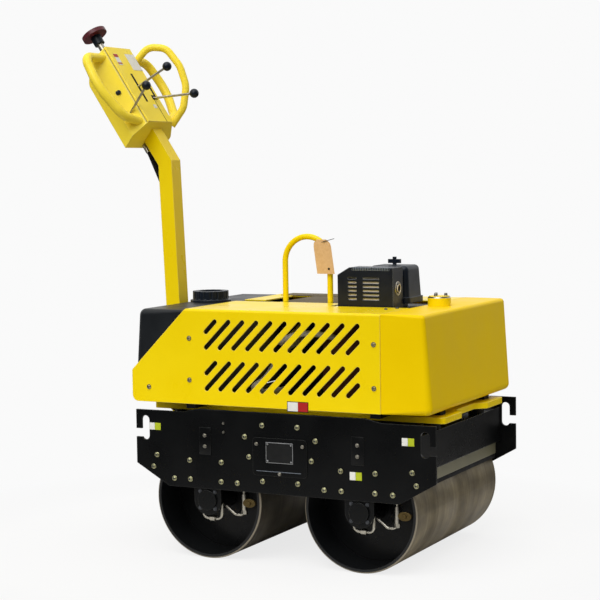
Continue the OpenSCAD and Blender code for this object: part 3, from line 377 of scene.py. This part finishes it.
def rolled_face(tree, place, dark, light):
    """Sockets of the rolled face: its colour, its height and its roughness."""
    across = add_node(tree, "ShaderNodeVectorMath", {0: place, 1: round_the_drum},
                      operation="MULTIPLY").outputs[0]
    fields = {}
    for field, along, size, detail in (("bands", across, band_mm, 5.0), ("stains", place, stain_mm, 6.0),
                                       ("belts", across, belt_mm, 2.0)):
        fields[field] = add_node(tree, "ShaderNodeTexNoise", {"Vector": along, "Scale": per_metre(size),
                                                              "Detail": detail}).outputs["Fac"]
    scores = add_node(tree, "ShaderNodeMath", {0: fields["bands"], 1: fields["stains"]},
                      operation="MULTIPLY").outputs[0]
    tone = add_node(tree, "ShaderNodeMapRange",
                    {"Value": scores, "From Min": 0.12, "From Max": 0.42}).outputs[0]
    face = add_node(tree, "ShaderNodeMix", {"Factor": tone, "A": linear(dark), "B": linear(light)},
                    data_type="RGBA").outputs[2]
    shares = {}
    for share, field, low, high in (("belt", "belts", 0.92, 1.08), ("stain", "stains", 0.84, 1.12),
                                    ("polish", "belts", 0.58, 0.4)):
        shares[share] = add_node(tree, "ShaderNodeMapRange", {"Value": fields[field], "From Min": 0.35,
                                                              "From Max": 0.65, "To Min": low,
                                                              "To Max": high}).outputs[0]
    shade = add_node(tree, "ShaderNodeMath", {0: shares["belt"], 1: shares["stain"]},
                     operation="MULTIPLY").outputs[0]
    face = add_node(tree, "ShaderNodeMix", {"Factor": 1.0, "A": face, "B": shade}, data_type="RGBA",
                    blend_type="MULTIPLY").outputs[2]
    return face, scores, shares["polish"]


# %% [markdown]
# The rim is worn to bare metal, and the inside is near black.
# Three materials on three sets of faces could show that. The distance from the axle tells the zones apart
# with soft edges between them, so each drum has its own copy with its own axle.

# %% Worn drum steel
drum_low, drum_high = corners_of("front_drum_shell")
axle_x = (drum_low[0] + drum_high[0]) / 2
axle_z = (drum_low[2] + drum_high[2]) / 2
drum_r = (drum_high[2] - drum_low[2]) / 2
# Distances from the axle over which the black inside turns into the rim, and the rim into the rolled face
rim_from, rim_to = (drum_r - 4.8) * MM, (drum_r - 3.6) * MM
face_from, face_to = (drum_r - 0.6) * MM, (drum_r - 0.1) * MM
# The rear drum's copy is darker and greyer: painted shade, for the shade in which the rear drum stands.
DRUMS = {"front": (axle_x, "52472F", "73684C"), "rear": (-axle_x, "3A352B", "524C40")}
for drum, (x, dark, light) in DRUMS.items():
    made, tree, shader, place = start_finish("worn_drum_steel_" + drum, 0.5, Specular_IOR_Level=0.4)
    spoke = add_node(tree, "ShaderNodeVectorMath", {0: place, 1: at(x, 0, axle_z)},
                     operation="SUBTRACT").outputs[0]
    spoke = add_node(tree, "ShaderNodeVectorMath", {0: spoke, 1: (1, 0, 1)},
                     operation="MULTIPLY").outputs[0]
    radius = add_node(tree, "ShaderNodeVectorMath", {0: spoke}, operation="LENGTH").outputs["Value"]
    face, scores, polish = rolled_face(tree, place, dark, light)
    outside = add_node(tree, "ShaderNodeMapRange",
                       {"Value": radius, "From Min": face_from, "From Max": face_to}).outputs[0]
    worn = add_node(tree, "ShaderNodeMix", {"Factor": outside, "A": linear("8C8474"), "B": face},
                    data_type="RGBA").outputs[2]
    rim = add_node(tree, "ShaderNodeMapRange",
                   {"Value": radius, "From Min": rim_from, "From Max": rim_to}).outputs[0]
    zone = add_node(tree, "ShaderNodeMix", {"Factor": rim, "A": linear("07090B"), "B": worn},
                    data_type="RGBA")
    metal = add_node(tree, "ShaderNodeMath", {0: rim, 1: 0.55}, operation="MULTIPLY")
    bump = add_node(tree, "ShaderNodeBump", {"Strength": 0.2, "Distance": 0.6 * MM, "Height": scores})
    tree.links.new(zone.outputs[2], shader.inputs["Base Color"])
    tree.links.new(metal.outputs[0], shader.inputs["Metallic"])
    tree.links.new(polish, shader.inputs["Roughness"])
    tree.links.new(bump.outputs[0], shader.inputs["Normal"])
    finishes["drum_steel_" + drum] = made
finishes["drum_steel"] = finishes["drum_steel_front"]
print("drum steel round axles at x =", axle_x, "and", -axle_x)

# %% [markdown]
# ## Finishes on the frame
# The record names a material slot for every node. Most nodes take the finish of that name, and a few take a
# shade of it: some for their own wear, the console's for painted light and the rear drum's for painted
# shade. Only those few are listed.

# %% Finishes of the nodes
# The console, its panel and its handlebars take the lighter copy of the yellow, which is painted light.
OWN_FINISHES = {
    "rear_drum_shell": "drum_steel_rear", "front_scraper": "scraper_steel", "rear_scraper": "scraper_steel",
    "lifting_eye": "yellow_tube_paint", "handlebar_right": "lit_copy_tube_paint",
    "handlebar_left": "lit_copy_tube_paint", "lever_guard": "lit_copy_tube_paint",
    "console": "lit_copy_paint", "control_panel": "lit_copy_paint", "hood_cover": "brown_grey_cover_paint",
    "muffler": "tanned_and_lit_steel",
}
for row in frame["record"]["subparts"]:
    mesh = nodes[row["node"]].data
    mesh.materials.clear()
    mesh.materials.append(finishes[OWN_FINISHES.get(row["node"], row["material_slot"])])
print("finishes on", len(nodes), "nodes")

# %% [markdown]
# ## Small pieces
# Bolts, plates and labels are many and alike, so each kind is one mesh that a loop fills.
# A bolt could be drawn once and instanced, but a joined mesh exports as one piece and moves with its body.

# %% A new piece
# The angle beyond which the edges of a new piece are shaded sharp
sharp_angle = math.radians(35)


def new_piece(name, build, finish, body="chassis", smooth=True):
    """Turns the mesh being built into a piece that rides on a body."""
    bmesh.ops.recalc_face_normals(build, faces=build.faces)
    mesh = bpy.data.meshes.new(name)
    for face in build.faces:
        face.smooth = smooth
    build.to_mesh(mesh)
    build.free()
    if smooth:
        mesh.set_sharp_from_angle(angle=sharp_angle)
    mesh.materials.append(finishes[finish])
    piece = bpy.data.objects.new(name, mesh)
    bpy.context.scene.collection.objects.link(piece)
    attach(piece, body)
    print(name, len(mesh.polygons), "faces")
    return piece


# %% [markdown]
# ## Bolts on the frame
# Nuts in yellow zinc on dark studs hold the carriers, scrapers and crossmembers to both side plates.
# A nut could be cut from a hexagon with a thread inside, but at this distance only its outline and its
# bright faces show. Three discs on top of each other give both: a washer, a six-sided block and its
# turned-off top.

# %% Discs and bolt heads
def facing(point, normal):
    """A matrix whose z axis leaves the point along the normal."""
    return Matrix.Translation(point) @ Vector(normal).to_track_quat("Z", "Y").to_matrix().to_4x4()


def add_disc(build, where, foot_d, top_d, low, high, sides=24):
    """A disc or cone between two heights, sizes in millimetres; six sides make a bolt's head."""
    middle = Matrix.Translation((0, 0, (low + high) / 2 * MM))
    bmesh.ops.create_cone(build, cap_ends=True, segments=sides, radius1=foot_d / 2 * MM,
                          radius2=top_d / 2 * MM, depth=(high - low) * MM, matrix=where @ middle)


def add_bolt(build, where, across, washer):
    """A hexagon bolt head on a washer, its top edge turned off."""
    corner = across / math.cos(math.radians(30))
    add_disc(build, where, washer, washer, 0, 2)
    add_disc(build, where, corner, corner, 2, across * 0.5, 6)
    add_disc(build, where, corner, corner * 0.86, across * 0.5, across * 0.62, 6)


# %% Frame bolts
plate_y = corners_of("side_plate_left")[1][1]
# Place along the plate and height of the nuts on one half of a plate; the other half mirrors them.
FRAME_NUTS = [(424, 310), (436.5, 273), (363, 241), (308.5, 300), (307, 242), (198.5, 300), (200, 241),
              (144.5, 240.5), (117.5, 383), (104, 323), (58.5, 420), (58.5, 252)]
build = bmesh.new()
studs = bmesh.new()
for side in (-1, 1):
    for end in (-1, 1):
        for x, z in FRAME_NUTS:
            where = facing(at(end * x, side * plate_y, z), (0, side, 0))
            add_bolt(build, where, 11, 16)
            add_disc(studs, where, 6.5, 5.5, 6.6, 7.6, 16)
new_piece("frame_bolts", build, "yellow_zinc")
new_piece("stud_ends", studs, "engine_alloy")

# %% [markdown]
# ## Strips, lips and the cover's fold
# A raised strip with two bolts sits above each axle, a rubber lip under each scraper wipes the drum, and
# the inspection cover's lower edge is folded outwards. The lips' black also stands for the shade in the gap
# under the scrapers, as painted shade, and the fold's light grey is a painted highlight. All are flat bars.
# A plain cube would have knife edges that catch no light, so the helper bevels its edges where they show.

# %% Slabs
def edges_at(verts):
    """The edges that meet at some vertices, each one once and always in the same order."""
    return list(dict.fromkeys(edge for vert in verts for edge in vert.link_edges))


def add_slab(build, centre, size, turn=None, round_mm=0):
    """A plate given by its centre and its size in millimetres, with rounded edges if asked."""
    place = Matrix.Translation(centre) @ (turn or Matrix()) @ Matrix.Diagonal([v * MM for v in size] + [1])
    made = bmesh.ops.create_cube(build, size=1, matrix=place)
    if round_mm:
        bmesh.ops.bevel(build, geom=edges_at(made["verts"]), offset=round_mm * MM, affect="EDGES",
                        segments=2, profile=0.5, material=-1)


# %% Strips above the axles, and plain bolts
cover_y = corners_of("inspection_cover")[0][1]
strip_x, strip_t = 253.5, 2
build = bmesh.new()
bolts = bmesh.new()
for side in (-1, 1):
    for x in (-strip_x, strip_x):
        add_slab(build, at(x, side * (plate_y + strip_t / 2), 362), (40, strip_t, 84), round_mm=0.8)
        for z in (346, 379):
            add_bolt(bolts, facing(at(x, side * (plate_y + strip_t), z), (0, side, 0)), 8, 12)
new_piece("carrier_strips", build, "black_paint")
# Three bolts hold the inspection cover, and two pins stand in the right plate further back.
for x, z in ((-76.5, 364), (76.5, 364), (0, 278)):
    add_bolt(bolts, facing(at(x, cover_y, z), (0, -1, 0)), 8, 11)
for z in (419, 392):
    add_disc(bolts, facing(at(-189, -plate_y, z), (0, -1, 0)), 9, 7, 0, 4)
new_piece("plain_bolts", bolts, "zinc")

# %% Scraper lips and the cover's fold
scraper_low, scraper_high = corners_of("front_scraper")
scraper_x = (scraper_low[0] + scraper_high[0]) / 2
lip_t, lip_w, lip_h = 5, 656, 14
# Black rubber lips, whose black is also painted shade for the gap under the scrapers.
build = bmesh.new()
for end in (-1, 1):
    add_slab(build, at(end * scraper_x, 0, scraper_low[2] - lip_h / 2), (lip_t, lip_w, lip_h), round_mm=1)
new_piece("scraper_lips_and_gap_shade", build, "rubber")
# The fold's light grey is a painted highlight along the bent edge.
build = bmesh.new()
add_slab(build, at(-3, cover_y - 1, 284), (148, 2, 1.8), round_mm=0.5)
new_piece("cover_fold", build, "highlight_grey")

# %% [markdown]
# ## Labels
# All labels are blank: two-tone ones on the plate, a riveted plate with a bright border on the cover, and a
# white and red one on the hood.
# A label could be a coloured patch in the paint's own tree, but vinyl and plates have an edge that catches
# the light, so each is a thin slab, and those of one colour share a piece.

# %% Labels on plate, cover and hood
hood_y = corners_of("hood_side_left")[1][1]
label_t = 0.6
on_plate, on_cover, on_hood = -plate_y - label_t / 2, cover_y - label_t / 2, -hood_y - label_t
# Middle of each label, its width and its height
LABELS = {
    "white_vinyl": [(-440, on_plate, 397, 19, 22), (237, on_plate, 288, 19, 24),
                    (402, on_plate, 397.5, 19, 23), (44, on_hood, 480.5, 34, 27)],
    "lime_vinyl": [(-420, on_plate, 397, 21, 22), (256, on_plate, 288, 20, 24),
                   (421, on_plate, 397.5, 20, 23)],
    "red_vinyl": [(77, on_hood, 480.5, 32, 27)],
    "silver_foil": [(0, on_cover, 340.5, 90, 62)],
    "etched_black": [(60, -hood_y - 0.2, 480.5, 70, 31)],
}
for finish, rows in LABELS.items():
    build = bmesh.new()
    for x, y, z, wide, high in rows:
        add_slab(build, at(x, y, z), (wide, label_t, high))
    new_piece("labels_" + finish, build, finish, smooth=False)

# %% Data plate and its rivets
plate_middle_z = 340.5
build = bmesh.new()
add_slab(build, at(0, cover_y - 0.8, plate_middle_z), (86, 0.5, 58))
new_piece("data_plate", build, "etched_black", smooth=False)
build = bmesh.new()
for x in (-39, 39):
    for z in (plate_middle_z - 25, plate_middle_z + 25):
        add_disc(build, facing(at(x, cover_y - 1, z), (0, -1, 0)), 6, 4, 0, 1.5, 16)
new_piece("data_plate_rivets", build, "silver_foil", smooth=False)

# %% [markdown]
# ## Screws of the hood and the lap of its cover
# Round-head screws hold the panels to the posts, and two duller ones sit in the strip beside the engine.
# A cross slot in the head would be finer than a pixel, so a head is a washer and a cone.
# The cover laps over the left flange of the hood's top; the lap is a thin plate that hides it.

# %% Hood screws and cover lap
hood_top = corners_of("hood_side_right")[1][2]
screws = bmesh.new()
for side in (-1, 1):
    for x, z in ((-305, 672), (-306, 545), (-450, 518), (306, 673), (306, 546)):
        where = facing(at(x, side * hood_y, z), (0, side, 0))
        add_disc(screws, where, 15, 15, 0, 1.5)
        add_disc(screws, where, 11, 7, 1.5, 5)
new_piece("hood_screws", screws, "zinc")
build = bmesh.new()
for x, y in ((296, -140), (279, -184)):
    add_disc(build, facing(at(x, y, hood_top), (0, 0, 1)), 11, 7, 0, 4)
new_piece("strip_screws", build, "engine_alloy")
build = bmesh.new()
add_slab(build, at(-114, 289, hood_top + 0.7), (352, 90, 1.6), round_mm=0.5)
new_piece("cover_lap", build, "brown_grey_cover_paint")

# %% [markdown]
# ## What shows through the louvres
# Two bent pipes run from the hydraulic tank, one back to it and one to the fan's shroud.
# A curve object with a round bevel could be a pipe, but a mesh exports as it is. So a soft curve is laid
# through a few corners, a ring is set across it at each point, and the rings are bridged.

# %% Tubes
def add_tube(build, path, diameter, sides=12):
    """A round tube through points of the frame: a ring at each point, bridged to the next."""
    rings = []
    for i, point in enumerate(path):
        ahead = path[min(i + 1, len(path) - 1)] - path[max(i - 1, 0)]
        ring = bmesh.ops.create_circle(build, cap_ends=False, segments=sides, radius=diameter / 2 * MM,
                                       matrix=facing(point, ahead))
        rings.append(edges_at(ring["verts"]))
    for low_ring, high_ring in zip(rings, rings[1:]):
        bmesh.ops.bridge_loops(build, edges=low_ring + high_ring)
    bmesh.ops.holes_fill(build, edges=rings[0] + rings[-1], sides=sides)


def smooth_path(corners, steps=6):
    """Points of a soft curve through corners, the way a hose lies."""
    points = []
    ends = [corners[0] * 2 - corners[1]] + list(corners) + [corners[-1] * 2 - corners[-2]]
    for a, b, c, d in zip(ends, ends[1:], ends[2:], ends[3:]):
        for i in range(steps):
            t = i / steps
            points.append(0.5 * (2 * b + (c - a) * t + (2 * a - 5 * b + 4 * c - d) * t * t
                                 + (3 * b - a - 3 * c + d) * t ** 3))
    return points + [corners[-1]]


# %% Pipes and shroud
PIPES = [
    [(-90, -96, 500), (-112, -220, 504), (-104, -300, 528), (-64, -302, 556), (-34, -296, 600),
     (-28, -220, 640), (-30, -96, 660)],
    [(-40, -96, 700), (-36, -220, 662), (-10, -300, 668), (40, -304, 690), (96, -296, 694),
     (130, -262, 684), (140, -228, 676)],
]
build = bmesh.new()
for corners in PIPES:
    add_tube(build, smooth_path([at(*p) for p in corners]), 18)
# The pipes' pale paint is partly a painted glint.
new_piece("hood_pipes", build, "pipe_paint_and_glint")
build = bmesh.new()
add_slab(build, at(178, -203, 610), (170, 76, 230), round_mm=12)
new_piece("fan_shroud", build, "brown_primer")

# %% [markdown]
# ## Drum ends
# The carrier's bolts sit round the motor's end cover. Beside each motor a gilt flange closes the feed
# line's port, and a plated sleeve holds the hose. A lathe profile could be spun for each, but all are round
# or hexagonal, so discs stacked along one axis do; the oval flange is a disc that its matrix stretches.

# %% Motor bolts
carrier_y = corners_of("front_carriers")[1][1]
bolt_circle_r = 36
build = bmesh.new()
for side in (-1, 1):
    for x in (-axle_x, axle_x):
        for step in range(4):
            turn = math.radians(45 + 90 * step)
            place = at(x + bolt_circle_r * math.cos(turn), side * carrier_y,
                       axle_z + bolt_circle_r * math.sin(turn))
            add_bolt(build, facing(place, (0, side, 0)), 8, 13)
new_piece("motor_bolts", build, "engine_alloy")

# %% Port flanges and hose sleeves
port_x, flange_x = 96, 142
build = bmesh.new()
sleeves = bmesh.new()
for x in (-axle_x, axle_x):
    port = facing(at(x + port_x, -carrier_y, 242), (0, 1, 0))
    add_disc(build, port, 34, 34, 0, 10, 6)
    add_disc(build, port, 22, 22, 10, 26)
    oval = facing(at(x + flange_x, 8 - carrier_y, axle_z), (0, -1, 0)) @ Matrix.Diagonal((1.6, 1, 1, 1))
    add_disc(build, oval, 26, 26, 0, 8, 32)
    add_disc(build, facing(at(x + flange_x, -carrier_y, axle_z), (0, -1, 0)), 15, 13, 0, 5, 6)
    upward = facing(at(x + port_x, -274, 134), (0, 0, 1))
    add_disc(sleeves, upward, 20, 20, 0, 12, 6)
    add_disc(sleeves, upward, 17, 17, 12, 62)
new_piece("port_flanges", build, "gold_zinc")
new_piece("hose_sleeves", sleeves, "zinc")

# %% [markdown]
# ## The muffler and its guard
# The bars between the slits along the guard's top edge stand a little proud, and their light grey is a
# painted highlight for the light that their edges catch. Behind the slits shows the muffler's flat side,
# tanned by heat and painted paler as painted light in the dim guard, and its outlet ends in a plated ring
# with a sooty bore. A deep hole would need the guard cut open, so two black discs stand for the soot and
# for the bore's painted shade.

# %% Guard ribs, muffler side and outlet
rib_pitch = 8
# The ribs' light grey is a painted highlight.
build = bmesh.new()
for rib in range(15):
    add_slab(build, at(138 + rib_pitch * rib, -96, 874.5), (4.4, 19, 11), round_mm=1.4)
new_piece("guard_ribs", build, "highlight_grey")
# The flat side's pale tan is partly painted light, brighter than the steel shows in the dim guard.
build = bmesh.new()
add_slab(build, at(175, -99.5, 803), (150, 4, 76), round_mm=1.5)
new_piece("muffler_flat_side", build, "tanned_and_lit_steel")
build = bmesh.new()
mouth = facing(at(268, -67.5, 815), (1, 0, 0))
add_disc(build, mouth, 44, 42, 0, 1.5, 32)
new_piece("outlet_ring", build, "zinc")
# Black discs: soot, and painted shade for the depth of the bore.
build = bmesh.new()
add_disc(build, mouth, 30, 30, 1.5, 2.2, 32)
add_disc(build, mouth, 21.6, 21.6, 2.2, 3, 32)
new_piece("outlet_soot_and_shade", build, "rubber")

# %% [markdown]
# ## Filler lid
# The front tank's lid is a plated disc with three studs to grip. A spun profile would give the same lid;
# low cones are enough, since the rim and the studs are all that the low camera sees.

# %% Filler lid
neck_low, neck_high = corners_of("filler_neck")
lid_x = (neck_low[0] + neck_high[0]) / 2
lid_z, lid_h, stud_r = 783, 6, 20
build = bmesh.new()
add_disc(build, facing(at(lid_x, 0, lid_z), (0, 0, 1)), 70, 66, 0, lid_h, 40)
for step in range(3):
    turn = math.radians(20 + 120 * step)
    place = at(lid_x + stud_r * math.cos(turn), stud_r * math.sin(turn), lid_z + lid_h)
    add_disc(build, facing(place, (0, 0, 1)), 12, 9, 0, 10)
new_piece("filler_lid", build, "zinc")

# %% [markdown]
# ## The hang tag
# A kraft card hangs from the lifting eye by a bent tie of stiff wire. A flat box would look like a board,
# so a grid is narrowed at its top corners, bowed and leaned a little, and then given the thickness of card.

# %% Card
tag_wide, tag_high, tag_thick = 60, 106, 0.8
tag_x, tag_y, tag_z = -2, -15, 906
sideways, forward, bow = 12, 5, 6
build = bmesh.new()
bmesh.ops.create_grid(build, x_segments=6, y_segments=10, size=0.5)
for vert in build.verts:
    u, v = vert.co.x, vert.co.y
    narrow = 1 - 0.45 * max(0, (v - 0.38) / 0.12)
    vert.co = at(tag_x + tag_wide * u * narrow - sideways * v,
                 tag_y - bow * math.cos(1.2 * u) - forward * v, tag_z + tag_high * v)
bmesh.ops.solidify(build, geom=build.faces[:], thickness=tag_thick * MM)
new_piece("hang_tag", build, "kraft_card")

# %% Eyelet and tie
build = bmesh.new()
add_disc(build, facing(at(-7, -21, 950), (0, -1, 0)), 12, 11, 0, 1.2, 20)
add_disc(build, facing(at(15, -16, 868), (0, -1, 0)), 7, 7, 0, 4, 16)
new_piece("tag_eyelet", build, "rubber")
# One run goes from the eyelet over the tube, down behind it and back under it; the other is the loose end.
TIE = [
    [(-7, -23, 950), (-7, -12, 953), (-7, 0, 949), (-7, 11, 940), (-7, 7, 928), (-7, -8, 927),
     (-7, -17, 938), (-7, -21, 949)],
    [(-7, -23, 950), (10, -25, 955), (36, -22, 962)],
]
build = bmesh.new()
for corners in TIE:
    add_tube(build, smooth_path([at(*p) for p in corners]), 2, 8)
new_piece("tag_wire", build, "engine_alloy")

# %% [markdown]
# ## The console
# The console leans back, so its labels, the throttle button and the stop's sleeve are placed in its own
# frame: out of the panel, sideways and up along it. They could be built flat and turned together, but a
# function that gives the turned point lets every mesh be built where it belongs.

# %% A point on the console
lean = math.radians(33.25)
panel_x, panel_z = -592, 1338
panel_turn = Matrix.Rotation(-lean, 4, "Y")


def on_console(out, side, along):
    """The point that lies so many millimetres out of the panel, to its left and up along it."""
    return at(panel_x + out * math.cos(lean) - along * math.sin(lean), side,
              panel_z + out * math.sin(lean) + along * math.cos(lean))


print("the panel's lower end is at", [round(v, 3) for v in on_console(0, 0, 0)])

# %% Labels and button of the console
build = bmesh.new()
for side, along, wide, high in ((46, 236, 56, 64), (-42, 243, 24, 44), (20, 60, 18, 14)):
    add_slab(build, on_console(0.3, side, along), (0.6, wide, high), panel_turn)
new_piece("console_labels", build, "white_vinyl", "drawbar", smooth=False)
build = bmesh.new()
for along, high in ((258, 12), (228, 5)):
    add_slab(build, on_console(0.5, -42, along), (0.8, 24, high), panel_turn)
new_piece("console_red_label", build, "red_vinyl", "drawbar", smooth=False)
build = bmesh.new()
button = facing(on_console(-36, -93, 131), (math.cos(lean), -0.9, math.sin(lean)))
add_disc(build, button, 22, 20, 0, 6)
add_disc(build, button, 16, 13, 6, 13)
new_piece("throttle_button", build, "black_plastic", "drawbar")

# %% [markdown]
# Rubber strips close the lever slots, with a thin one in the seam of the small lid below the hooked slot;
# their black is painted shade for the dark inside of the slots. A painted weld bead closes the seam on each
# side of the panel. The panel with its slots belongs to the frame and could be remeshed here, but leaving
# it as it is and laying the pieces on it is simpler.

# %% Slot strips and weld beads
# Black strips in the slots: painted shade.
build = bmesh.new()
for side, along, wide, high in ((-12, 133, 11, 110), (56.5, 113.5, 11, 51), (47.5, 96.5, 29, 17),
                                (38.6, 44, 2.2, 88)):
    add_slab(build, on_console(0.1, side, along), (0.6, wide, high), panel_turn)
new_piece("slot_shade_strips", build, "rubber", "drawbar", smooth=False)
build = bmesh.new()
for side in (-74.4, 74.4):
    add_tube(build, [on_console(-3.6, side, along) for along in (1, 146, 290)], 4.6)
# The beads take the lighter copy of the yellow, which is painted light.
new_piece("panel_beads", build, "lit_copy_tube_paint", "drawbar")

# %% [markdown]
# A plated tube stiffens the stop's stem, and a black sleeve covers its boss below the red disc. The four
# control cables leave the console through crimped ends. All are turned parts that a spun profile could
# make; the discs and tubes above do the same with less.

# %% Stop tube, sleeve and cable ends
stop_out = -50
upward = on_console(0, 0, 1) - on_console(0, 0, 0)
build = bmesh.new()
add_disc(build, facing(on_console(stop_out, 0, 262), upward), 21, 21, 0, 79, 24)
new_piece("stop_tube", build, "zinc", "drawbar")
build = bmesh.new()
add_disc(build, facing(on_console(stop_out, 0, 341), upward), 34.8, 36, 0, 30.8, 32)
new_piece("stop_sleeve", build, "black_plastic", "drawbar")
cable_out = -88
build = bmesh.new()
for side in (-19.5, -6.5, 6.5, 19.5):
    add_tube(build, [on_console(cable_out, side, along) for along in (-30, -45, -62)], 12)
new_piece("cable_ends", build, "zinc", "drawbar")

# %% [markdown]
# ## Sizes
# Bolt heads and labels stand a few millimetres proud of the CAD model. The box of the finished machine is
# printed in metres.

# %% Sizes
low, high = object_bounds()
print("visual box in metres:", [round(v, 3) for v in high - low])
